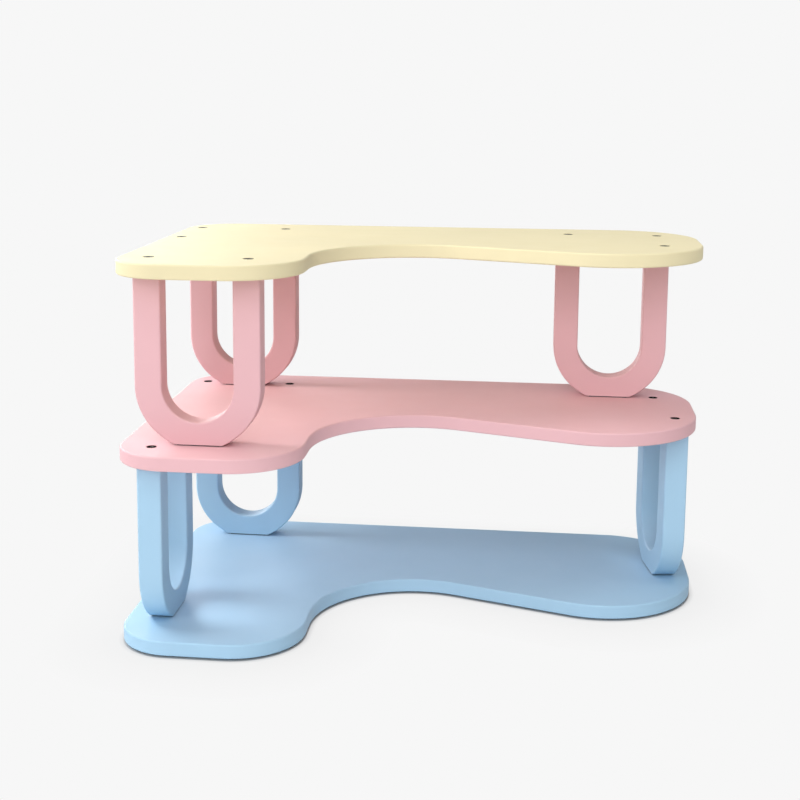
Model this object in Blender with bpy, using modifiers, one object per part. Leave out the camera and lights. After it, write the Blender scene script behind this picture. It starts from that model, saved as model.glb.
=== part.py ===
"""Three-tier corner display rack: L-shaped lacquered boards on U-shaped legs.

All lengths are in metres, +Z is up. Plan positions are given in the board frame: its origin is the square
rear-left corner of the boards before rounding, +X runs right along the rear edge and +Y points to the rear,
so everything on a board has a negative Y. The datum empty puts that corner in place, and the origin of the
scene is at the middle of the rack's footprint, on the surface that it stands on.
"""
import math

import bmesh
import bpy
from mathutils import Matrix, Vector

# Boards: one outline for all three tiers
BOARD_LENGTH = 0.600
BOARD_DEPTH = 0.400
BOARD_THICKNESS = 0.015
LOBE_WIDTH = 0.188
INNER_CORNER_DEPTH = 0.144
END_CORNER_DEPTH = 0.285
REAR_LEFT_RADIUS = 0.056
FRONT_LEFT_RADIUS = 0.056
LOBE_RADIUS = 0.074
INNER_RADIUS = 0.112
END_FRONT_RADIUS = 0.105
END_REAR_RADIUS = 0.088
EDGE_EASE = 0.002

# U-shaped legs: one size for both tiers
LEG_WIDTH = 0.130
STEM_WIDTH = 0.028
LEG_THICKNESS = 0.025
FOOT_WIDTH = 0.046
TIER_CLEARANCE = 0.176

# Where the legs stand: insets of a leg's end and of its centre line from the board edges that they are nearest
UPPER_FRONT_END_INSET = 0.017
UPPER_FRONT_SIDE_INSET = 0.059
UPPER_REAR_END_INSET = 0.003
UPPER_REAR_SIDE_INSET = 0.054
UPPER_RIGHT_END_INSET = 0.029
UPPER_RIGHT_SIDE_INSET = 0.057
LOWER_FRONT_END_INSET = 0.025
LOWER_FRONT_SIDE_INSET = 0.036
LOWER_REAR_END_INSET = 0.006
LOWER_REAR_SIDE_INSET = 0.049
LOWER_RIGHT_END_INSET = 0.048
LOWER_RIGHT_SIDE_INSET = 0.033

# Countersunk screws with a hexagon socket, and the threaded inserts that they go into
SCREW_DIAMETER = 0.005
SCREW_HEAD_DIAMETER = 0.010
SCREW_HEAD_RIM = 0.0004
SCREW_TIP_CHAMFER = 0.0008
SCREW_SUNK = 0.0003
SOCKET_ACROSS_FLATS = 0.003
SOCKET_DEPTH = 0.002
STEM_SCREW_LENGTH = 0.035
FOOT_SCREW_LENGTH = 0.030
SPARE_SCREW_LENGTH = 0.011
INSERT_DIAMETER = 0.008
INSERT_LENGTH = 0.013
PILOT_CLEARANCE = 0.003

# Non-slip pads under the bottom board
PAD_DIAMETER = 0.020
PAD_THICKNESS = 0.0015
PAD_EASE = 0.0003
PAD_INSET = 0.034
END_PAD_INSET = 0.050

# Gap that parts resting on or fitted into each other keep
SEAT_GAP = 0.0003
# How far a cutter reaches past the face that it starts from
CUT_MARGIN = 0.002

# Facets
ARC_STEP = math.radians(9)
EASE_SEGMENTS = 2
SCREW_SIDES = 12
INSERT_SIDES = 10
PAD_SIDES = 16

# Heights of the board tops above the surface
BOTTOM_TOP = PAD_THICKNESS + SEAT_GAP + BOARD_THICKNESS
TIER_PITCH = TIER_CLEARANCE + BOARD_THICKNESS
MIDDLE_TOP = BOTTOM_TOP + TIER_PITCH
UPPER_TOP = MIDDLE_TOP + TIER_PITCH

# Leg places in the board frame: name, tier, x, y and turn about Z in degrees, 0 lying along the rear edge
STEM_SPACING = LEG_WIDTH - STEM_WIDTH
HALF_LEG = LEG_WIDTH / 2
LEGS = (
    ("upper_front_leg", "upper", HALF_LEG + UPPER_FRONT_END_INSET, UPPER_FRONT_SIDE_INSET - BOARD_DEPTH, 0.0),
    ("upper_rear_leg", "upper", HALF_LEG + UPPER_REAR_END_INSET, -UPPER_REAR_SIDE_INSET, 0.0),
    ("upper_right_leg", "upper", BOARD_LENGTH - HALF_LEG - UPPER_RIGHT_END_INSET, -UPPER_RIGHT_SIDE_INSET, 0.0),
    ("lower_front_leg", "lower", LOWER_FRONT_SIDE_INSET, HALF_LEG + LOWER_FRONT_END_INSET - BOARD_DEPTH, 90.0),
    ("lower_rear_leg", "lower", HALF_LEG + LOWER_REAR_END_INSET, -LOWER_REAR_SIDE_INSET, 0.0),
    ("lower_right_leg", "lower", BOARD_LENGTH - LOWER_RIGHT_SIDE_INSET, -HALF_LEG - LOWER_RIGHT_END_INSET, 99.0),
)
# Spare fixing holes of the top board: name, leg and which of its stems the leg could be turned about
SPARE_HOLES = (("rear_spare_screw", "upper_rear_leg", 0), ("right_spare_screw", "upper_right_leg", 1))


def clear_scene():
    """Remove whatever the scene starts with."""
    for obj in list(bpy.data.objects):
        bpy.data.objects.remove(obj, do_unlink=True)


def new_collection(name):
    collection = bpy.data.collections.new(name)
    bpy.context.scene.collection.children.link(collection)
    return collection


def new_material(name, colour, roughness, metallic=0.0):
    """A plain Principled finish."""
    material = bpy.data.materials.new(name)
    material.use_nodes = True
    shader = material.node_tree.nodes["Principled BSDF"]
    shader.inputs["Base Color"].default_value = (*colour, 1.0)
    shader.inputs["Roughness"].default_value = roughness
    shader.inputs["Metallic"].default_value = metallic
    material.diffuse_color = (*colour, 1.0)
    return material


def rounded_outline(corners):
    """Points of a closed polygon whose corners (x, y, radius) are replaced by tangent arcs."""
    points = []
    for i, (x, y, radius) in enumerate(corners):
        corner = Vector((x, y))
        back = (Vector(corners[i - 1][:2]) - corner).normalized()
        ahead = (Vector(corners[(i + 1) % len(corners)][:2]) - corner).normalized()
        half_angle = math.acos(back.dot(ahead)) / 2
        centre = corner + (back + ahead).normalized() * radius / math.sin(half_angle)
        start = corner + back * radius / math.tan(half_angle) - centre
        sweep = start.angle_signed(corner + ahead * radius / math.tan(half_angle) - centre)
        steps = max(2, round(abs(sweep) / ARC_STEP))
        for step in range(steps + 1):
            turn = Matrix.Rotation(-sweep * step / steps, 2)
            points.append(centre + turn @ start)
    return points


def board_outline():
    """The L-shaped plan: a square rear-left corner, a lobe at the left and an arm with a full round end."""
    return rounded_outline((
        (0, 0, REAR_LEFT_RADIUS),
        (0, -BOARD_DEPTH, FRONT_LEFT_RADIUS),
        (LOBE_WIDTH, -BOARD_DEPTH, LOBE_RADIUS),
        (LOBE_WIDTH, -INNER_CORNER_DEPTH, INNER_RADIUS),
        (BOARD_LENGTH, -END_CORNER_DEPTH, END_FRONT_RADIUS),
        (BOARD_LENGTH, 0, END_REAR_RADIUS),
    ))


def arc(radius, centre_height, first, last):
    """Points of an arc about (0, centre_height), with angles measured from straight down, positive to +X."""
    steps = max(2, round(abs(last - first) / ARC_STEP))
    angles = [first + (last - first) * step / steps for step in range(steps + 1)]
    return [Vector((radius * math.sin(a), centre_height - radius * math.cos(a))) for a in angles]


def leg_outline():
    """The U: straight stems on a half ring, whose outside is cut flat where it stands."""
    outer = LEG_WIDTH / 2
    inner = outer - STEM_WIDTH
    top = TIER_CLEARANCE - 2 * SEAT_GAP
    flat = math.asin(FOOT_WIDTH / 2 / outer)
    bend = outer * math.cos(flat)
    quarter = math.pi / 2
    right_side = arc(outer, bend, flat, quarter) + [Vector((outer, top)), Vector((inner, top))]
    inside = arc(inner, bend, quarter, -quarter)
    left_side = [Vector((-inner, top)), Vector((-outer, top))] + arc(outer, bend, -quarter, -flat)
    return right_side + inside + left_side


def extruded_mesh(name, points, thickness):
    """A closed prism over a flat outline, centred on its plane, with each flat face in one piece."""
    curve = bpy.data.curves.new(name, "CURVE")
    curve.dimensions = "2D"
    curve.fill_mode = "BOTH"
    curve.extrude = thickness / 2
    spline = curve.splines.new("POLY")
    spline.points.add(len(points) - 1)
    for control, point in zip(spline.points, points):
        control.co = (point.x, point.y, 0, 1)
    spline.use_cyclic_u = True
    obj = bpy.data.objects.new(name, curve)
    bpy.context.scene.collection.objects.link(obj)
    mesh = bpy.data.meshes.new_from_object(obj.evaluated_get(bpy.context.evaluated_depsgraph_get()))
    bpy.data.objects.remove(obj, do_unlink=True)
    body = bmesh.new()
    body.from_mesh(mesh)
    bmesh.ops.remove_doubles(body, verts=body.verts, dist=1e-6)
    bmesh.ops.dissolve_limit(body, angle_limit=math.radians(1), verts=body.verts, edges=body.edges)
    bmesh.ops.recalc_face_normals(body, faces=body.faces)
    body.to_mesh(mesh)
    body.free()
    return mesh


def ease(obj, width, segments):
    """Round the sharp edges of an object."""
    bevel = obj.modifiers.new("eased_edges", "BEVEL")
    bevel.width = width
    bevel.segments = segments
    bevel.limit_method = "ANGLE"
    bevel.angle_limit = math.radians(40)


def turned_object(name, profile, sides):
    """A profile of (radius, height) pairs, from the top of its outer side down, turned about Z."""
    mesh = bpy.data.meshes.new(name)
    edges = [(i, i + 1) for i in range(len(profile) - 1)]
    mesh.from_pydata([(radius, 0, height) for radius, height in profile], edges, [])
    obj = bpy.data.objects.new(name, mesh)
    bpy.context.scene.collection.objects.link(obj)
    screw = obj.modifiers.new("turned", "SCREW")
    screw.steps = sides
    screw.render_steps = sides
    screw.use_merge_vertices = True
    screw.merge_threshold = 1e-5
    return obj


def subtract(obj, cutter):
    cut = obj.modifiers.new(cutter.name, "BOOLEAN")
    cut.operation = "DIFFERENCE"
    cut.object = cutter


def baked_mesh(obj, *cutters):
    """The finished mesh of an object with its modifiers, whose working objects are then removed."""
    bpy.context.view_layer.update()
    mesh = bpy.data.meshes.new_from_object(obj.evaluated_get(bpy.context.evaluated_depsgraph_get()))
    mesh.name = obj.name
    for done in (obj, *cutters):
        bpy.data.objects.remove(done, do_unlink=True)
    return mesh


def shade_round(mesh):
    mesh.shade_smooth()
    mesh.set_sharp_from_angle(angle=math.radians(35))


def screw_profile(length):
    """Half section of a countersunk screw, hanging down from the middle of its head's top."""
    head = SCREW_HEAD_DIAMETER / 2
    shank = SCREW_DIAMETER / 2
    return (
        (0, 0),
        (head - SCREW_HEAD_RIM, 0),
        (head, -SCREW_HEAD_RIM),
        (shank, -SCREW_HEAD_RIM - (head - shank)),
        (shank, -length + SCREW_TIP_CHAMFER),
        (shank - SCREW_TIP_CHAMFER, -length),
        (0, -length),
    )


def screw_mesh(name, length):
    """A countersunk screw with a hexagon socket."""
    screw = turned_object(name, screw_profile(length), SCREW_SIDES)
    socket = bpy.data.meshes.new(name + "_socket")
    hexagon = bmesh.new()
    corner_radius = SOCKET_ACROSS_FLATS / math.sqrt(3)
    bmesh.ops.create_cone(hexagon, cap_ends=True, segments=6, radius1=corner_radius, radius2=corner_radius,
                          depth=2 * SOCKET_DEPTH)
    hexagon.to_mesh(socket)
    hexagon.free()
    cutter = bpy.data.objects.new(name + "_socket", socket)
    bpy.context.scene.collection.objects.link(cutter)
    subtract(screw, cutter)
    mesh = baked_mesh(screw, cutter)
    shade_round(mesh)
    return mesh


def countersunk_hole_mesh(name, depth):
    """Cutter for a countersunk hole whose mouth is at z = 0, with the seat gap all round the screw."""
    slant_gap = SEAT_GAP * math.sqrt(2)
    mouth = SCREW_HEAD_DIAMETER / 2 + slant_gap
    bore = SCREW_DIAMETER / 2 + SEAT_GAP
    rim = SCREW_SUNK + SCREW_HEAD_RIM
    profile = ((0, CUT_MARGIN), (mouth, CUT_MARGIN), (mouth, -rim), (bore, -rim - (mouth - bore)), (bore, -depth),
               (0, -depth))
    return baked_mesh(turned_object(name, profile, SCREW_SIDES))


def insert_hole_mesh(name, screw_reach):
    """Cutter for an insert's stepped hole with its mouth at z = 0, a pilot below for the end of the screw."""
    wide = INSERT_DIAMETER / 2 + SEAT_GAP
    narrow = SCREW_DIAMETER / 2 + SEAT_GAP
    step = -INSERT_LENGTH - 2 * SEAT_GAP
    bottom = -max(screw_reach + PILOT_CLEARANCE, INSERT_LENGTH + PILOT_CLEARANCE)
    profile = ((0, CUT_MARGIN), (wide, CUT_MARGIN), (wide, step), (narrow, step), (narrow, bottom), (0, bottom))
    return baked_mesh(turned_object(name, profile, INSERT_SIDES))


def insert_mesh():
    """A plain sleeve hanging down from z = 0; its thread is left out."""
    outer = INSERT_DIAMETER / 2
    bore = SCREW_DIAMETER / 2 + SEAT_GAP
    profile = ((bore, 0), (outer, 0), (outer, -INSERT_LENGTH), (bore, -INSERT_LENGTH), (bore, 0))
    sleeve = baked_mesh(turned_object("threaded_insert", profile, INSERT_SIDES))
    shade_round(sleeve)
    return sleeve


def stem_reach():
    """How far a stem screw goes past the stem's top end."""
    return STEM_SCREW_LENGTH + SCREW_SUNK - BOARD_THICKNESS - SEAT_GAP


def foot_reach():
    """How far a foot screw goes past the foot's flat."""
    return FOOT_SCREW_LENGTH + SCREW_SUNK - BOARD_THICKNESS - SEAT_GAP


def leg_mesh():
    """A leg standing on z = 0 along X, with eased edges and its three insert holes."""
    mesh = extruded_mesh("leg", leg_outline(), LEG_THICKNESS)
    mesh.transform(Matrix.Rotation(math.pi / 2, 4, "X"))
    leg = bpy.data.objects.new("leg", mesh)
    bpy.context.scene.collection.objects.link(leg)
    ease(leg, EDGE_EASE, EASE_SEGMENTS)
    top = TIER_CLEARANCE - 2 * SEAT_GAP
    stem_hole = insert_hole_mesh("stem_hole", stem_reach())
    foot_hole = insert_hole_mesh("foot_hole", foot_reach())
    upside_down = Matrix.Rotation(math.pi, 4, "X")
    holes = (
        ("left_hole", stem_hole, Matrix.Translation((-STEM_SPACING / 2, 0, top))),
        ("right_hole", stem_hole, Matrix.Translation((STEM_SPACING / 2, 0, top))),
        ("middle_hole", foot_hole, upside_down),
    )
    cutters = []
    for name, hole, place in holes:
        cutter = bpy.data.objects.new(name, hole)
        cutter.matrix_world = place
        bpy.context.scene.collection.objects.link(cutter)
        subtract(leg, cutter)
        cutters.append(cutter)
    finished = baked_mesh(leg, *cutters)
    shade_round(finished)
    return finished


def pad_mesh():
    """A stick-on disc whose underside is at z = 0."""
    disc = bmesh.new()
    bmesh.ops.create_cone(disc, cap_ends=True, segments=PAD_SIDES, radius1=PAD_DIAMETER / 2,
                          radius2=PAD_DIAMETER / 2, depth=PAD_THICKNESS,
                          matrix=Matrix.Translation((0, 0, PAD_THICKNESS / 2)))
    mesh = bpy.data.meshes.new("pad")
    disc.to_mesh(mesh)
    disc.free()
    pad = bpy.data.objects.new("pad", mesh)
    bpy.context.scene.collection.objects.link(pad)
    ease(pad, PAD_EASE, 1)
    return baked_mesh(pad)


class Rack:
    """Builds the pieces and places them in the board frame."""

    def __init__(self):
        self.parts = new_collection("corner_display_rack")
        self.cutters = new_collection("cutters")
        self.datum = bpy.data.objects.new("rear_left_corner", None)
        self.datum.location = (-BOARD_LENGTH / 2, BOARD_DEPTH / 2, 0)
        self.parts.objects.link(self.datum)
        self.paint = {
            "cream": new_material("cream_lacquer", (0.90, 0.80, 0.53), 0.38),
            "pink": new_material("pink_lacquer", (0.78, 0.47, 0.49), 0.38),
            "blue": new_material("blue_lacquer", (0.42, 0.60, 0.79), 0.38),
        }
        self.steel = new_material("screw_steel", (0.42, 0.42, 0.43), 0.32, 1.0)
        self.brass = new_material("insert_brass", (0.70, 0.55, 0.28), 0.35, 1.0)
        self.rubber = new_material("pad_rubber", (0.05, 0.05, 0.05), 0.85)
        self.outline = board_outline()
        self.leg = leg_mesh()
        self.insert = insert_mesh()
        self.pad = pad_mesh()
        self.screws = {}
        self.holes = {}
        for use, length, hole_depth in (
            ("stem", STEM_SCREW_LENGTH, BOARD_THICKNESS + CUT_MARGIN),
            ("foot", FOOT_SCREW_LENGTH, BOARD_THICKNESS + CUT_MARGIN),
            ("spare", SPARE_SCREW_LENGTH, SPARE_SCREW_LENGTH + SCREW_SUNK + SEAT_GAP),
        ):
            self.screws[use] = screw_mesh(use + "_screw", length)
            self.holes[use] = countersunk_hole_mesh(use + "_screw_hole", hole_depth)

    def place(self, name, mesh, material, location, turn=0.0, upside_down=False):
        """Add one piece, with its material on the object because its mesh may be shared."""
        obj = bpy.data.objects.new(name, mesh)
        self.parts.objects.link(obj)
        obj.parent = self.datum
        obj.location = location
        obj.rotation_euler = (math.pi if upside_down else 0, 0, turn)
        if not mesh.materials:
            mesh.materials.append(None)
        obj.material_slots[0].link = "OBJECT"
        obj.material_slots[0].material = material
        return obj

    def board(self, name, material, top):
        """A board with eased edges, still without its holes."""
        mesh = extruded_mesh(name, self.outline, BOARD_THICKNESS)
        board = self.place(name, mesh, material, (0, 0, top - BOARD_THICKNESS / 2))
        ease(board, EDGE_EASE, EASE_SEGMENTS)
        shade_round(mesh)
        return board

    def screw(self, name, use, board, x, y, face, upside_down=False):
        """A countersunk screw sunk in a board's face at height face, with the hole that it sits in."""
        hole = bpy.data.objects.new(name + "_hole", self.holes[use])
        self.cutters.objects.link(hole)
        hole.parent = self.datum
        hole.location = (x, y, face)
        hole.rotation_euler = (math.pi if upside_down else 0, 0, 0)
        hole.hide_render = True
        hole.display_type = "WIRE"
        subtract(board, hole)
        sunk = SCREW_SUNK if upside_down else -SCREW_SUNK
        self.place(name, self.screws[use], self.steel, (x, y, face + sunk), 0.0, upside_down)

    def stand_leg(self, name, x, y, turn, paint, lower_board, lower_top, upper_board, upper_top):
        """A leg between two boards, with its three inserts and three screws."""
        foot = lower_top + SEAT_GAP
        top = upper_top - BOARD_THICKNESS - SEAT_GAP
        self.place(name, self.leg, self.paint[paint], (x, y, foot), turn)
        place_name = name.removesuffix("_leg")
        stems = stem_places(x, y, turn)
        for side, (stem_x, stem_y) in zip(("a", "b"), stems):
            stem_name = f"{place_name}_stem_{side}"
            self.place(stem_name + "_insert", self.insert, self.brass, (stem_x, stem_y, top - SEAT_GAP))
            self.screw(stem_name + "_screw", "stem", upper_board, stem_x, stem_y, upper_top)
        self.place(place_name + "_foot_insert", self.insert, self.brass, (x, y, foot + SEAT_GAP), 0.0, True)
        self.screw(place_name + "_foot_screw", "foot", lower_board, x, y, lower_top - BOARD_THICKNESS, True)

    def pads(self):
        """Pads in the corners of the bottom board, one of them at the front of its round end."""
        front = -BOARD_DEPTH + PAD_INSET
        end_front = -END_CORNER_DEPTH + END_FRONT_RADIUS / 2 + PAD_INSET / 2
        spots = {
            "rear_left_pad": (PAD_INSET, -PAD_INSET),
            "front_left_pad": (PAD_INSET, front),
            "lobe_pad": (LOBE_WIDTH - PAD_INSET, front),
            "end_front_pad": (BOARD_LENGTH - END_FRONT_RADIUS, end_front),
            "end_rear_pad": (BOARD_LENGTH - END_PAD_INSET, -END_PAD_INSET),
        }
        for name, (x, y) in spots.items():
            self.place(name, self.pad, self.rubber, (x, y, 0))


def stem_places(x, y, turn):
    """Plan positions of a leg's two stems, the one at the leg's own -X first."""
    along = Vector((math.cos(turn), math.sin(turn))) * STEM_SPACING / 2
    middle = Vector((x, y))
    return middle - along, middle + along


def build():
    clear_scene()
    rack = Rack()
    top_board = rack.board("top_board", rack.paint["cream"], UPPER_TOP)
    middle_board = rack.board("middle_board", rack.paint["pink"], MIDDLE_TOP)
    bottom_board = rack.board("bottom_board", rack.paint["blue"], BOTTOM_TOP)
    tiers = {
        "upper": ("pink", middle_board, MIDDLE_TOP, top_board, UPPER_TOP),
        "lower": ("blue", bottom_board, BOTTOM_TOP, middle_board, MIDDLE_TOP),
    }
    legs = {name: (x, y, math.radians(degrees)) for name, tier, x, y, degrees in LEGS}
    for name, tier, *_ in LEGS:
        rack.stand_leg(name, *legs[name], *tiers[tier])
    for name, leg, stem in SPARE_HOLES:
        corner_stem = stem_places(*legs[leg])[stem]
        rack.screw(name, "spare", top_board, corner_stem.x, corner_stem.y - STEM_SPACING, UPPER_TOP)
    rack.pads()
    bpy.context.view_layer.update()


build()
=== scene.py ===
"""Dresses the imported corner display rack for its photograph.

The boards and legs become smooth drilled slabs, the screws and pads turned surfaces. Then come the lacquer,
steel, brass and rubber finishes, the floor, the light and the camera. Lengths are in metres.
"""
import math

import bpy
import numpy as np
from mathutils import Euler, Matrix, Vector


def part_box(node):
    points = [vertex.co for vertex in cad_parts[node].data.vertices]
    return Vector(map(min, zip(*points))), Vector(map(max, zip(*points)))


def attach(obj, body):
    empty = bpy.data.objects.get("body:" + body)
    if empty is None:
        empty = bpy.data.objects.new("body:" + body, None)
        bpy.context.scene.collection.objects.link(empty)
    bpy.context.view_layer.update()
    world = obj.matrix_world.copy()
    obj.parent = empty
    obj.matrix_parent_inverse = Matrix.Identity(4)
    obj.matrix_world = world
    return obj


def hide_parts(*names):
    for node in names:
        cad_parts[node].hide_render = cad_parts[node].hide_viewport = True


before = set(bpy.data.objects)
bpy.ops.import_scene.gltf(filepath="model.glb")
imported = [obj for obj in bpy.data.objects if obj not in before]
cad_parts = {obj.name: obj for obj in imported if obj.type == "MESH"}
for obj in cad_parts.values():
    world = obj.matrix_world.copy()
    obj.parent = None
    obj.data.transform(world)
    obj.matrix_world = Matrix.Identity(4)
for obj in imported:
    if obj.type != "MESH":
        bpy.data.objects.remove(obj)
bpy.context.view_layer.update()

# Board outline: the corner points of the plan before rounding, from the rear-left corner, and their radii
BOARD_LOW, BOARD_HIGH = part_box("top_board")
BOARD_LENGTH, BOARD_DEPTH, BOARD_THICKNESS = BOARD_HIGH - BOARD_LOW
LOBE_WIDTH = 0.188
INNER_CORNER_DEPTH = 0.144
END_CORNER_DEPTH = 0.285
REAR_LEFT_RADIUS = 0.056
FRONT_LEFT_RADIUS = 0.056
LOBE_RADIUS = 0.074
INNER_RADIUS = 0.112
END_FRONT_RADIUS = 0.105
END_REAR_RADIUS = 0.088

# Legs
LEG_LOW, LEG_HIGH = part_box("upper_front_leg")
LEG_WIDTH, LEG_THICKNESS, LEG_HEIGHT = LEG_HIGH - LEG_LOW
STEM_WIDTH = 0.028
FOOT_WIDTH = 0.046
FOOT_EASE = 0.002

# Sole: its edges' small ease, how high they grow to the full one, and the rebate round it, where a dark
# band is painted shade
SOLE_EASE = 0.0004
EASE_RISE = 0.006
REBATE_DEPTH = 0.0012
REBATE_HEIGHT = 0.0008

# Eased edges and the facets that make round forms smooth
EDGE_EASE = 0.002
EASE_STEPS = 4
EASE_TURN = np.linspace(0, np.pi / 2, EASE_STEPS + 1)
ARC_STEP = math.radians(2.5)
SHARP_ANGLE = math.radians(30)

# Screws, their holes and the threaded inserts
SCREW_RADIUS = 0.0025
HEAD_RADIUS = 0.005
HEAD_RIM = 0.0004
HEAD_ROUND = 0.0001
SCREW_TIP = 0.0008
SOCKET_FLATS = 0.003
SOCKET_DEPTH = 0.002
SOCKET_POINT = 0.0005
CHAMFER_DEPTH = 0.00025
CHAMFER_WIDTH = 0.000125
HEAD_SUNK = 0.0003
MOUTH_GAP = 0.0009
HOLE_GAP = 0.0003
CUT_MARGIN = 0.002
PILOT_CLEARANCE = 0.003
SCREW_COLUMNS = 48
HOLE_COLUMNS = 48

# Pads
PAD_COLUMNS = 72
PAD_EASE = 0.0004

# Leg names with the lacquer of their tier and their turn about Z in degrees, 0 lying along the rear edge
LEGS = {
    "upper_front_leg": ("pink_lacquer", 0),
    "upper_rear_leg": ("pink_lacquer", 0),
    "upper_right_leg": ("pink_lacquer", 0),
    "lower_front_leg": ("blue_lacquer", 90),
    "lower_rear_leg": ("blue_lacquer", 0),
    "lower_right_leg": ("blue_lacquer", 99),
}
BOARDS = {"top_board": "cream_lacquer", "middle_board": "pink_lacquer", "bottom_board": "blue_lacquer"}
SCREWS = sorted(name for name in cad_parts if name.endswith("_screw"))
INSERTS = sorted(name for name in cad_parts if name.endswith("_insert"))
PADS = sorted(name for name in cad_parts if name.endswith("_pad"))


# Outlines


def unit(vectors):
    """Rows of vectors brought to a length of 1."""
    return vectors / np.linalg.norm(vectors, axis=1, keepdims=True)


def corner_arcs(corners):
    """Arcs that round the corners (x, y, radius) of a polygon walked anticlockwise.

    An arc's centre lies on its corner's bisector, at radius / sin(half the corner's angle), and the arc
    touches both sides at radius / tan(half the angle) from the corner. Each row is centre x and y, radius,
    first angle and sweep.
    """
    place = corners[:, :2]
    radius = corners[:, 2:]
    back = unit(np.roll(place, 1, axis=0) - place)
    ahead = unit(np.roll(place, -1, axis=0) - place)
    half = np.arccos((back * ahead).sum(axis=1, keepdims=True)) / 2
    centre = place + unit(back + ahead) * radius / np.sin(half)
    first = place + back * radius / np.tan(half) - centre
    last = place + ahead * radius / np.tan(half) - centre
    start = np.arctan2(first[:, 1], first[:, 0])
    sweep = (np.arctan2(last[:, 1], last[:, 0]) - start + np.pi) % (2 * np.pi) - np.pi
    return np.column_stack([centre, radius, start, sweep])


def walk(arcs):
    """Points and outward normals of an outline of arcs joined by straight runs, anticlockwise.

    A point of an arc is its centre plus the radius along its angle. A negative sweep is a hollow arc, whose
    normal points to the centre.
    """
    points = []
    normals = []
    for x, y, radius, start, sweep in arcs:
        angle = start + sweep * np.linspace(0, 1, 1 + math.ceil(abs(sweep) / ARC_STEP))
        ray = np.column_stack([np.cos(angle), np.sin(angle)])
        points.append((x, y) + radius * ray)
        normals.append(math.copysign(1, sweep) * ray)
    return np.concatenate(points), np.concatenate(normals)


def board_arcs():
    """The L-shaped plan: a lobe at the left, a hollow inner corner and an arm with a round end."""
    corners = np.array([
        (0, 0, REAR_LEFT_RADIUS),
        (0, -BOARD_DEPTH, FRONT_LEFT_RADIUS),
        (LOBE_WIDTH, -BOARD_DEPTH, LOBE_RADIUS),
        (LOBE_WIDTH, -INNER_CORNER_DEPTH, INNER_RADIUS),
        (BOARD_LENGTH, -END_CORNER_DEPTH, END_FRONT_RADIUS),
        (BOARD_LENGTH, 0, END_REAR_RADIUS),
    ])
    corners[:, :2] += (BOARD_LOW.x, BOARD_HIGH.y)
    return corner_arcs(corners)


def leg_arcs():
    """The U seen from the front, standing on height 0: half rings about one centre, with stems above.

    The outer ring is cut flat at the foot. A small arc of radius FOOT_EASE joins the flat and the ring: it
    touches the flat, and its centre is at the ring's radius less its own from the ring's centre.
    """
    outer = LEG_WIDTH / 2
    inner = outer - STEM_WIDTH
    bend = math.sqrt(outer ** 2 - (FOOT_WIDTH / 2) ** 2)
    toe = math.sqrt((outer - FOOT_EASE) ** 2 - (bend - FOOT_EASE) ** 2)
    toe_angle = math.atan2(FOOT_EASE - bend, toe)
    shoulder = LEG_HEIGHT - EDGE_EASE
    quarter = math.pi / 2
    return (
        (toe, FOOT_EASE, FOOT_EASE, -quarter, quarter + toe_angle),
        (0, bend, outer, toe_angle, -toe_angle),
        (outer - EDGE_EASE, shoulder, EDGE_EASE, 0, quarter),
        (inner + EDGE_EASE, shoulder, EDGE_EASE, quarter, quarter),
        (0, bend, inner, 0, -math.pi),
        (-inner - EDGE_EASE, shoulder, EDGE_EASE, 0, quarter),
        (EDGE_EASE - outer, shoulder, EDGE_EASE, quarter, quarter),
        (0, bend, outer, math.pi, -toe_angle),
        (-toe, FOOT_EASE, FOOT_EASE, -math.pi - toe_angle, quarter + toe_angle),
    )


# Surfaces


def numbered(grid):
    """The numbers of a grid's points, in the grid's own rows and columns."""
    return np.arange(grid[..., 0].size).reshape(grid.shape[:2])


def between_rings(index):
    """Faces between neighbouring rows of point numbers, where every row closes to a ring."""
    beside = np.roll(index, -1, axis=1)
    faces = np.stack([index[:-1], index[1:], beside[1:], beside[:-1]], axis=-1)
    return faces.reshape(-1, 4).tolist()


def slab(points, normals, thickness, ease):
    """Closed slab over an outline: its eased edge's profile carried along it, between two flat faces.

    The profile is a quarter circle at each face: over a turn t its inset is ease * (1 - sin t) and its drop
    from the face ease * (1 - cos t). The ease is one length, or one for each point of the outline.
    """
    ease = np.broadcast_to(ease, len(points))
    inset = (1 - np.sin(EASE_TURN))[:, None] * ease
    level = thickness / 2 - (1 - np.cos(EASE_TURN))[:, None] * ease
    inset = np.concatenate([inset, inset[::-1]])
    level = np.concatenate([level, -level[::-1]])
    grid = np.empty((*inset.shape, 3))
    grid[..., :2] = points - normals * inset[..., None]
    grid[..., 2] = level
    index = numbered(grid)
    flats = [index[0].tolist(), index[-1, ::-1].tolist()]
    return grid.reshape(-1, 3), between_rings(index) + flats


def leg_slab():
    """The U as a slab, its edges' ease growing from SOLE_EASE at the sole to EDGE_EASE at EASE_RISE."""
    points, normals = walk(leg_arcs())
    share = np.clip(points[:, 1] / EASE_RISE, 0, 1)
    return slab(points, normals, LEG_THICKNESS, SOLE_EASE + (EDGE_EASE - SOLE_EASE) * share)


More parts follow.
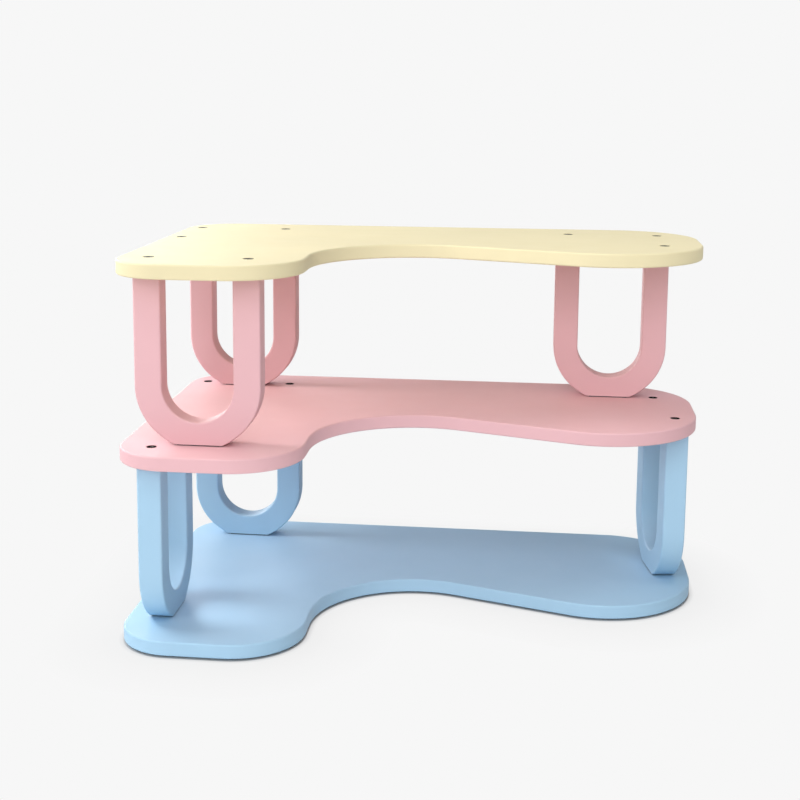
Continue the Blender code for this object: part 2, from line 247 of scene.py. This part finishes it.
def sole_rebate():
    """Shallow rebate round the sole: a rectangle's profile carried round the four corners of the foot.

    The profile's inner side lies REBATE_DEPTH inside the foot's rectangle and its outer side half the leg's
    thickness outside it. It reaches from below the sole up to REBATE_HEIGHT.
    """
    foot = np.array((FOOT_WIDTH, LEG_THICKNESS)) / 2
    corners = np.array(((-1, -1), (1, -1), (1, 1), (-1, 1)))
    reach = np.array((-REBATE_DEPTH, LEG_THICKNESS / 2, LEG_THICKNESS / 2, -REBATE_DEPTH))
    level = np.array((REBATE_HEIGHT, REBATE_HEIGHT, -CUT_MARGIN, -CUT_MARGIN))
    grid = np.empty((len(reach), len(corners), 3))
    grid[..., :2] = corners * (foot + reach[:, None])[:, None]
    grid[..., 2] = level[:, None]
    index = numbered(grid)
    return grid.reshape(-1, 3), between_rings(np.concatenate([index, index[:1]]))


def turned(radii, heights):
    """Closed surface turned about Z, from a point on the axis through rings to another point on the axis.

    radii holds one row for each ring, over the angle, and heights the heights of the first point, the rings
    and the last point, running down the outer side. A ring's point is (radius cos a, radius sin a, height).
    """
    columns = radii.shape[1]
    angle = np.linspace(0, 2 * np.pi, columns, endpoint=False)
    level = np.broadcast_to(np.asarray(heights[1:-1])[:, None], radii.shape)
    grid = np.stack([radii * np.cos(angle), radii * np.sin(angle), level], axis=-1)
    points = np.concatenate([grid.reshape(-1, 3), [(0, 0, heights[0]), (0, 0, heights[-1])]])
    index = numbered(grid)
    beside = np.roll(index, -1, axis=1)
    first = np.full(columns, index.size)
    opening = np.column_stack([first, index[0], beside[0]])
    closing = np.column_stack([first + 1, beside[-1], index[-1]])
    return points, between_rings(index) + opening.tolist() + closing.tolist()


def round_rings(radii, columns):
    """The same radius all round, for each ring of a turned surface."""
    return np.repeat(np.asarray(radii)[:, None], columns, axis=1)


def screw_surface(length):
    """Countersunk screw hanging from height 0, with a hexagon socket in a head that fills its sunk place.

    The socket's wall is at its half width across flats / cos(angle from the nearest flat's middle), and a
    round chamfer opens it. Below the head's rim the cone narrows to the shank at 45 degrees.
    """
    angle = np.linspace(0, 2 * np.pi, SCREW_COLUMNS, endpoint=False)
    from_flat = (angle + np.pi / 6) % (np.pi / 3) - np.pi / 6
    hexagon = SOCKET_FLATS / 2 / np.cos(from_flat)
    socket_levels = (-SOCKET_DEPTH, HEAD_SUNK - CHAMFER_DEPTH)
    outside = (
        (hexagon.max() + CHAMFER_WIDTH, HEAD_SUNK),
        (HEAD_RADIUS - HEAD_RIM, HEAD_SUNK),
        (HEAD_RADIUS - HEAD_ROUND, HEAD_SUNK - HEAD_ROUND),
        (HEAD_RADIUS, -HEAD_RIM),
        (SCREW_RADIUS, -HEAD_RIM - (HEAD_RADIUS - SCREW_RADIUS)),
        (SCREW_RADIUS, -length + SCREW_TIP),
        (SCREW_RADIUS - SCREW_TIP, -length),
    )
    outer_radii, outer_levels = zip(*outside)
    radii = np.concatenate([[hexagon, hexagon], round_rings(outer_radii, SCREW_COLUMNS)])
    return turned(radii, [-SOCKET_DEPTH - SOCKET_POINT, *socket_levels, *outer_levels, -length])


def screw_hole(depth):
    """Countersunk hole with its mouth at height 0, MOUTH_GAP wide of the head and HOLE_GAP of the shank."""
    mouth = HEAD_RADIUS + MOUTH_GAP
    bore = SCREW_RADIUS + HOLE_GAP
    rim = HEAD_SUNK + HEAD_RIM
    radii = round_rings((mouth, mouth, bore, bore), HOLE_COLUMNS)
    return turned(radii, [CUT_MARGIN, CUT_MARGIN, -rim, -rim - (mouth - bore), -depth, -depth])


def insert_hole(radius, depth):
    """Stepped hole with its mouth at height 0: a threaded insert's room, then the screw's pilot hole."""
    bore = SCREW_RADIUS + HOLE_GAP
    wide = radius + HOLE_GAP
    end = -depth - PILOT_CLEARANCE
    radii = round_rings((wide, wide, bore, bore), HOLE_COLUMNS)
    return turned(radii, [CUT_MARGIN, CUT_MARGIN, -depth, -depth, end, end])


def pad_surface(radius, height):
    """Flat round pad on height 0 with rims chamfered at 45 degrees."""
    radii = round_rings((radius - PAD_EASE, radius, radius, radius - PAD_EASE), PAD_COLUMNS)
    return turned(radii, [height, height, height - PAD_EASE, PAD_EASE, 0, 0])


# Pieces


UPRIGHT = ((1, 0, 0), (0, 1, 0), (0, 0, 1))
UPSIDE_DOWN = ((1, 0, 0), (0, -1, 0), (0, 0, -1))


def moved(surface, place, axes=UPRIGHT):
    """A surface with its own axes laid along the given ones and its origin at a place."""
    points, faces = surface
    return points @ np.array(axes, float) + np.array(place, float), faces


def joined(surfaces):
    """Several closed surfaces as one list of points and faces."""
    points = []
    faces = []
    count = 0
    for own_points, own_faces in surfaces:
        points.append(own_points)
        faces.extend([[corner + count for corner in face] for face in own_faces])
        count += len(own_points)
    return np.concatenate(points), faces


def mesh_object(name, surface):
    """A new object in the scene with a surface as its mesh."""
    points, faces = surface
    mesh = bpy.data.meshes.new(name)
    mesh.from_pydata(points.tolist(), [], faces)
    obj = bpy.data.objects.new(name, mesh)
    bpy.context.scene.collection.objects.link(obj)
    return obj


def mark_points(obj, name, values):
    """Keep one number for each point of an object's mesh, for its material."""
    obj.data.attributes.new(name, "FLOAT", "POINT").data.foreach_set("value", values)


def mark_edges(obj):
    """Mark how far a slab's points lie on its eased edge: sin 2t over the profile's turn t."""
    share = np.sin(2 * EASE_TURN)
    share = np.concatenate([share, share[::-1]])
    mark_points(obj, "edge", np.repeat(share, len(obj.data.vertices) // len(share)))


def drilled(obj, holes):
    """Cut closed hole surfaces out of an object and keep the finished mesh on it."""
    cutter = mesh_object(obj.name + "_holes", joined(holes))
    cut = obj.modifiers.new("holes", "BOOLEAN")
    cut.operation = "DIFFERENCE"
    cut.object = cutter
    mesh = bpy.data.meshes.new_from_object(obj.evaluated_get(bpy.context.evaluated_depsgraph_get()))
    obj.modifiers.clear()
    blank = obj.data
    obj.data = mesh
    bpy.data.meshes.remove(blank)
    bpy.data.objects.remove(cutter, do_unlink=True)


def dress(obj, node, finish):
    """Shade a piece, give it its finish and let it stand for its CAD node."""
    obj.data.shade_smooth()
    obj.data.set_sharp_from_angle(angle=SHARP_ANGLE)
    weighted = obj.modifiers.new("even_faces", "WEIGHTED_NORMAL")
    weighted.keep_sharp = True
    obj.data.materials.clear()
    obj.data.materials.append(finish)
    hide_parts(node)
    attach(obj, "root")


def middle_of(node):
    """The middle of a node's box."""
    low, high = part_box(node)
    return (low + high) / 2


def from_below(node):
    """Whether a screw or insert is fitted from below."""
    return "_foot_" in node


def fitted(surface, node, low, high):
    """A surface on a screw's or insert's axis, hung from the high level or stood up on the low one."""
    middle = middle_of(node)
    if from_below(node):
        return moved(surface, (middle.x, middle.y, low), UPSIDE_DOWN)
    return moved(surface, (middle.x, middle.y, high))


def board_holes(board):
    """Holes for the screws whose heads lie in a board, from its top face or from its underside."""
    low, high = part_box(board)
    holes = []
    for node in SCREWS:
        screw_low, screw_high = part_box(node)
        head = screw_low.z if from_below(node) else screw_high.z
        if low.z < head < high.z:
            depth = min(screw_high.z - screw_low.z + HEAD_SUNK + HOLE_GAP, BOARD_THICKNESS + CUT_MARGIN)
            holes.append(fitted(screw_hole(depth), node, low.z, high.z))
    return holes


def leg_holes(leg):
    """Holes for a leg's threaded inserts, from the tops of its stems and from its foot."""
    low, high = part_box(leg)
    holes = []
    for node in INSERTS:
        if node.startswith(leg.removesuffix("leg")):
            insert_low, insert_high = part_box(node)
            radius = (insert_high.x - insert_low.x) / 2
            depth = insert_high.z - insert_low.z + 2 * HOLE_GAP
            holes.append(fitted(insert_hole(radius, depth), node, low.z, high.z))
    return holes


def make_boards(finishes):
    for node, slot in BOARDS.items():
        surface = slab(*walk(board_arcs()), BOARD_THICKNESS, EDGE_EASE)
        board = mesh_object("lacquered_" + node, moved(surface, (0, 0, middle_of(node).z)))
        mark_edges(board)
        drilled(board, board_holes(node))
        dress(board, node, finishes[slot])


def make_legs(finishes):
    """The U is drawn along its own X and up, so its slab's third axis is its thickness."""
    for node, (slot, degrees) in LEGS.items():
        middle = middle_of(node)
        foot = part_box(node)[0].z
        turn = math.radians(degrees)
        along = (math.cos(turn), math.sin(turn), 0)
        through = (math.sin(turn), -math.cos(turn), 0)
        place = (middle.x, middle.y, foot)
        leg = mesh_object("lacquered_" + node, moved(leg_slab(), place, (along, (0, 0, 1), through)))
        rebate = moved(sole_rebate(), place, (along, np.negative(through), (0, 0, 1)))
        mark_edges(leg)
        drilled(leg, [*leg_holes(node), rebate])
        dress(leg, node, finishes[slot])


def make_screws(finishes):
    for node in SCREWS:
        low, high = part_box(node)
        surface = fitted(screw_surface(high.z - low.z), node, low.z, high.z)
        dress(mesh_object("socket_" + node, surface), node, finishes["screw_steel"])


def make_pads(finishes):
    for node in PADS:
        low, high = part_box(node)
        middle = middle_of(node)
        surface = pad_surface((high.x - low.x) / 2, high.z - low.z)
        pad = mesh_object("soft_" + node, moved(surface, (middle.x, middle.y, low.z)))
        dress(pad, node, finishes["pad_rubber"])


# Shader nodes


def put(tree, value, socket):
    """Set a socket to a value, or link it to another node's output."""
    if isinstance(value, bpy.types.NodeSocket):
        tree.links.new(value, socket)
    else:
        socket.default_value = value


def worked_out(tree, operation, *values):
    """The result of a Math node."""
    node = tree.nodes.new("ShaderNodeMath")
    node.operation = operation
    for value, socket in zip(values, node.inputs):
        put(tree, value, socket)
    return node.outputs[0]


def blended(tree, kind, factor, first, second):
    """The result of a Mix node: the first value where the factor is 0, the second where it is 1."""
    node = tree.nodes.new("ShaderNodeMix")
    node.data_type = kind
    put(tree, factor, node.inputs["Factor"])
    put(tree, first, node.inputs["A"])
    put(tree, second, node.inputs["B"])
    return node.outputs["Result"]


def marked(tree, name):
    """The numbers kept with a mesh's points."""
    node = tree.nodes.new("ShaderNodeAttribute")
    node.attribute_name = name
    return node.outputs["Fac"]


# Finishes: the middle part of a noise that a pattern uses, how rich its noises are, and the colours


NOISE_LOW = 0.3
NOISE_HIGH = 0.7
PLAIN_DETAIL = 2.0
RICH_DETAIL = 3.0

CREAM = (0.785, 0.700, 0.449)
PINK = (0.757, 0.462, 0.494)
BLUE = (0.374, 0.582, 0.757)
CLOUD_DARK = 0.975
CLOUD_LIGHT = 1.025
# darkness of the painted contact shade at the legs' soles, as a share of their lacquer colour
SOLE_SHADE_TONE = 0.06
LACQUER_SHEEN = 0.24
EDGE_ROUGHNESS = 0.46
STEEL_DARK = (0.06, 0.06, 0.057)
STEEL_LIGHT = (0.16, 0.157, 0.15)
BRASS_DARK = (0.50, 0.36, 0.14)
BRASS_LIGHT = (0.66, 0.50, 0.23)
RUBBER_DARK = (0.018, 0.018, 0.019)
RUBBER_LIGHT = (0.040, 0.040, 0.042)


class Finish:
    """A Principled material whose patterns read the piece's own coordinates, with scales per metre."""

    def __init__(self, name, sockets):
        self.material = bpy.data.materials.new(name)
        self.material.use_nodes = True
        self.tree = self.material.node_tree
        self.inputs = self.tree.nodes["Principled BSDF"].inputs
        self.place = self.tree.nodes.new("ShaderNodeTexCoord").outputs["Object"]
        for socket, value in sockets.items():
            self.inputs[socket].default_value = value

    def noise(self, scale, detail):
        node = self.tree.nodes.new("ShaderNodeTexNoise")
        node.inputs["Scale"].default_value = scale
        node.inputs["Detail"].default_value = detail
        self.tree.links.new(self.place, node.inputs["Vector"])
        return node.outputs["Fac"]

    def spread(self, value, low, high):
        """Map the middle part of a noise onto a range."""
        node = self.tree.nodes.new("ShaderNodeMapRange")
        node.inputs["From Min"].default_value = NOISE_LOW
        node.inputs["From Max"].default_value = NOISE_HIGH
        node.inputs["To Min"].default_value = low
        node.inputs["To Max"].default_value = high
        self.tree.links.new(value, node.inputs["Value"])
        return node.outputs["Result"]

    def clouds(self, scale, dark, light):
        """Vary the colour between two tones."""
        share = self.spread(self.noise(scale, RICH_DETAIL), 0, 1)
        colour = blended(self.tree, "RGBA", share, (*dark, 1), (*light, 1))
        self.tree.links.new(colour, self.inputs["Base Color"])

    def band(self, low, high, colour):
        """Give the heights from low to high a colour of their own; the lacquers use it for the painted
        shade at the sole.
        """
        split = self.tree.nodes.new("ShaderNodeSeparateXYZ")
        self.tree.links.new(self.place, split.inputs["Vector"])
        height = split.outputs["Z"]
        inside = worked_out(self.tree, "COMPARE", height, (low + high) / 2, (high - low) / 2)
        base = self.inputs["Base Color"]
        both = blended(self.tree, "RGBA", inside, base.links[0].from_socket, (*colour, 1))
        self.tree.links.new(both, base)

    def gloss(self, scale, low, high):
        """Vary the roughness over a range."""
        rough = self.spread(self.noise(scale, PLAIN_DETAIL), low, high)
        self.tree.links.new(rough, self.inputs["Roughness"])

    def rubbed_edges(self, roughness):
        """Bring the roughness to a value where a slab is marked as lying on its eased edge."""
        rough = self.inputs["Roughness"]
        edge = marked(self.tree, "edge")
        both = blended(self.tree, "FLOAT", edge, rough.links[0].from_socket, roughness)
        self.tree.links.new(both, rough)

    def grain(self, scale, strength, depth, detail=PLAIN_DETAIL):
        """Raise a fine grain."""
        node = self.tree.nodes.new("ShaderNodeBump")
        node.inputs["Strength"].default_value = strength
        node.inputs["Distance"].default_value = depth
        self.tree.links.new(self.noise(scale, detail), node.inputs["Height"])
        self.tree.links.new(node.outputs["Normal"], self.inputs["Normal"])


def toned(colour, factor):
    return tuple(channel * factor for channel in colour)


def lacquer(name, colour, sole=None):
    """Sprayed satin lacquer: faint clouds in colour and gloss, glossier rubbed edges and fine orange peel.

    Where legs have the colour, a dark band is painted at the rebate round their sole: painted shade that
    stands for the contact shadow under the foot.
    """
    finish = Finish(name, {"Specular IOR Level": LACQUER_SHEEN})
    finish.clouds(scale=7.0, dark=toned(colour, CLOUD_DARK), light=toned(colour, CLOUD_LIGHT))
    if sole is not None:
        # painted shade: a dark band where the foot's contact shadow falls on the board
        finish.band(sole - HOLE_GAP / 2, sole + REBATE_HEIGHT + HOLE_GAP / 2, toned(colour, SOLE_SHADE_TONE))
    finish.gloss(scale=38.0, low=0.54, high=0.62)
    finish.rubbed_edges(EDGE_ROUGHNESS)
    finish.grain(scale=620.0, strength=0.05, depth=0.0004)
    return finish.material


def steel():
    """Plated screw steel with fine scratches in its gloss."""
    finish = Finish("plated_screw_steel", {"Metallic": 1.0, "Specular Tint": (*STEEL_DARK, 1)})
    finish.clouds(scale=900.0, dark=STEEL_DARK, light=STEEL_LIGHT)
    finish.gloss(scale=2600.0, low=0.24, high=0.40)
    finish.grain(scale=4200.0, strength=0.08, depth=0.00005)
    return finish.material


def brass():
    """Turned brass of the threaded inserts, a little dulled."""
    finish = Finish("dull_insert_brass", {"Metallic": 1.0})
    finish.clouds(scale=700.0, dark=BRASS_DARK, light=BRASS_LIGHT)
    finish.gloss(scale=2200.0, low=0.28, high=0.45)
    finish.grain(scale=3600.0, strength=0.08, depth=0.00005)
    return finish.material


def rubber():
    """Matte moulded rubber with a fine grain."""
    finish = Finish("black_pad_rubber", {})
    finish.clouds(scale=420.0, dark=RUBBER_DARK, light=RUBBER_LIGHT)
    finish.gloss(scale=800.0, low=0.72, high=0.9)
    finish.grain(scale=2400.0, strength=0.3, depth=0.0001, detail=RICH_DETAIL)
    return finish.material


def make_finishes():
    return {
        "cream_lacquer": lacquer("cream_satin_lacquer", CREAM),
        "pink_lacquer": lacquer("pink_satin_lacquer", PINK, LEG_LOW.z),
        "blue_lacquer": lacquer("blue_satin_lacquer", BLUE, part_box("lower_front_leg")[0].z),
        "screw_steel": steel(),
        "insert_brass": brass(),
        "pad_rubber": rubber(),
    }


# Stage


BACKGROUND = 0.930
AMBIENT = 0.02

# Floor: the colour it throws back on the rack and the darker one the camera sees near it, painted shade
# that deepens the rack's shadow there, its reach, and how far from the rack's outline it shows how much of
# its real shading
FLOOR_COLOUR = 0.92
SHADE_PAINT_COLOUR = 0.42
FLOOR_REACH = 8.0
FLOOR_HUB = (-0.16, 0.08)
SHADE_RINGS = (
    (-0.004, 1.0),
    (-0.0004, 1.0),
    (0.0012, 0.36),
    (0.006, 0.10),
    (0.035, 0.05),
    (0.090, 0.0),
)


def grey(level):
    return (level, level, level, 1)


def seen_directly(tree):
    """1 for what the camera, a mirror or a see-through surface looks at, 0 for light falling on things."""
    path = tree.nodes.new("ShaderNodeLightPath").outputs
    seen_or_mirrored = worked_out(tree, "MAXIMUM", path["Is Camera Ray"], path["Is Glossy Ray"])
    return worked_out(tree, "MAXIMUM", seen_or_mirrored, path["Is Transmission Ray"])


def show_mix(tree, output_kind, factor, first, second):
    """Show the first shader where the factor is 0 and the second where it is 1."""
    mix = tree.nodes.new("ShaderNodeMixShader")
    output = tree.nodes.new(output_kind)
    tree.links.new(factor, mix.inputs["Fac"])
    tree.links.new(first.outputs[0], mix.inputs[1])
    tree.links.new(second.outputs[0], mix.inputs[2])
    tree.links.new(mix.outputs[0], output.inputs["Surface"])


def make_world():
    """Even pale surroundings, seen a little below white and shining on the rack at the ambient level."""
    world = bpy.data.worlds.new("studio")
    world.use_nodes = True
    tree = world.node_tree
    tree.nodes.clear()
    shining = tree.nodes.new("ShaderNodeBackground")
    shining.inputs["Color"].default_value = grey(1)
    shining.inputs["Strength"].default_value = AMBIENT
    shown = tree.nodes.new("ShaderNodeBackground")
    shown.inputs["Color"].default_value = grey(BACKGROUND)
    show_mix(tree, "ShaderNodeOutputWorld", seen_directly(tree), shining, shown)
    bpy.context.scene.world = world


def floor_surface():
    """Flat floor of rings that keep their distance to the bottom board's outline, and one far ring.

    A ring's point is the outline's point plus the ring's distance along its outward normal. The far ring's
    points lie FLOOR_REACH from the hub, in the directions of the last near ring's points.
    """
    points, normals = walk(board_arcs())
    rings = [points + normals * distance for distance, _ in SHADE_RINGS]
    rings.append(FLOOR_HUB + FLOOR_REACH * unit(rings[-1] - FLOOR_HUB))
    grid = np.zeros((len(rings), len(points), 3))
    grid[..., :2] = rings
    index = numbered(grid)
    return grid.reshape(-1, 3), between_rings(index) + [index[0].tolist()]


def floor_finish():
    """Matte paint where the floor shows its real shading, darker as the camera sees it: painted shade; the
    background's tone elsewhere.
    """
    material = bpy.data.materials.new("pale_floor")
    material.use_nodes = True
    tree = material.node_tree
    tree.nodes.clear()
    seen = seen_directly(tree)
    matte = tree.nodes.new("ShaderNodeBsdfDiffuse")
    # the camera sees the darker colour, painted shade on top of the real shading; light falling on the rack
    # sees the pale one
    paint = blended(tree, "RGBA", seen, grey(FLOOR_COLOUR), grey(SHADE_PAINT_COLOUR))
    tree.links.new(paint, matte.inputs["Color"])
    glow = tree.nodes.new("ShaderNodeEmission")
    glow.inputs["Color"].default_value = grey(BACKGROUND)
    unshaded = worked_out(tree, "SUBTRACT", 1, marked(tree, "shade"))
    weight = worked_out(tree, "MULTIPLY", unshaded, seen)
    show_mix(tree, "ShaderNodeOutputMaterial", weight, matte, glow)
    return material


def make_floor():
    """Pale floor that melts into the surroundings and keeps the rack's shadow close round it, deepened by
    painted shade.

    Each ring carries its share of real shading, and the far ring none.
    """
    floor = mesh_object("floor", floor_surface())
    shares = [share for _, share in SHADE_RINGS] + [0.0]
    mark_points(floor, "shade", np.repeat(shares, len(floor.data.vertices) // len(shares)))
    floor.data.materials.append(floor_finish())


# Soft boxes: place, width, height and power in watts
AIM = Vector((0.0, 0.0, 0.2))
SOFT_BOXES = {
    "front_softbox": ((0.5, -4.6, 1.8), 2.0, 2.0, 69.0),
    "left_front_softbox": ((-3.0, -3.6, 2.0), 2.0, 2.0, 52.0),
    "high_softbox": ((0.0, -1.9, 2.1), 1.4, 1.4, 20.5),
    "overhead_softbox": ((-0.4, -0.3, 2.3), 1.6, 1.6, 7.8),
    "left_softbox": ((-0.9, 0.14, 0.66), 0.3, 0.3, 3.1),
    "left_strip_light": ((-1.5, 0.05, 0.28), 0.16, 0.6, 0.2),
    "high_left_softbox": ((-1.9, -0.1, 1.9), 0.8, 0.8, 22.5),
    "right_softbox": ((0.95, -0.4, 0.65), 0.5, 0.5, 1.0),
    "high_right_softbox": ((0.75, -0.1, 1.2), 0.4, 0.4, 2.0),
    "rear_softbox": ((-1.1, 1.5, 0.6), 1.0, 1.0, 16.0),
    "back_softbox": ((0.1, 1.5, 2.2), 1.2, 1.2, 3.0),
}


def make_lights():
    for name, (place, width, height, power) in SOFT_BOXES.items():
        lamp = bpy.data.lights.new(name, "AREA")
        lamp.shape = "RECTANGLE"
        lamp.size = width
        lamp.size_y = height
        lamp.energy = power
        light = bpy.data.objects.new(name, lamp)
        light.location = place
        light.rotation_euler = (AIM - Vector(place)).to_track_quat("-Z", "Y").to_euler()
        bpy.context.scene.collection.objects.link(light)


# Camera: where the photograph was taken from. The focal length and centre are in the photograph's pixels,
# the sensor's width in millimetres
PHOTO_SIZE = 800
FOCAL_PIXELS = 1379
CENTRE_PIXEL = (370, 300)
SENSOR_WIDTH = 36
CAMERA_PLACE = (0.1141, -1.4808, 0.5713)
CAMERA_PITCH = math.radians(8.90)
CAMERA_HEADING = math.radians(6.76)
CAMERA_ROLL = math.radians(0.31)


def make_camera():
    """The lens and shift follow from the focal length and centre as shares of the photograph's width."""
    data = bpy.data.cameras.new("camera")
    data.sensor_width = SENSOR_WIDTH
    data.lens = SENSOR_WIDTH * FOCAL_PIXELS / PHOTO_SIZE
    data.shift_x = 0.5 - CENTRE_PIXEL[0] / PHOTO_SIZE
    data.shift_y = CENTRE_PIXEL[1] / PHOTO_SIZE - 0.5
    camera = bpy.data.objects.new("camera", data)
    camera.location = CAMERA_PLACE
    heading = Euler((0, 0, CAMERA_HEADING)).to_matrix()
    pitch = Euler((math.pi / 2 - CAMERA_PITCH, 0, 0)).to_matrix()
    roll = Euler((0, 0, CAMERA_ROLL)).to_matrix()
    camera.rotation_euler = (heading @ pitch @ roll).to_euler()
    bpy.context.scene.collection.objects.link(camera)
    bpy.context.scene.camera = camera


finishes = make_finishes()
make_boards(finishes)
make_legs(finishes)
make_screws(finishes)
make_pads(finishes)
for node in INSERTS:
    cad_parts[node].data.materials.clear()
    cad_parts[node].data.materials.append(finishes["insert_brass"])
make_world()
make_floor()
make_lights()
make_camera()
bpy.context.scene.view_settings.view_transform = "Standard"
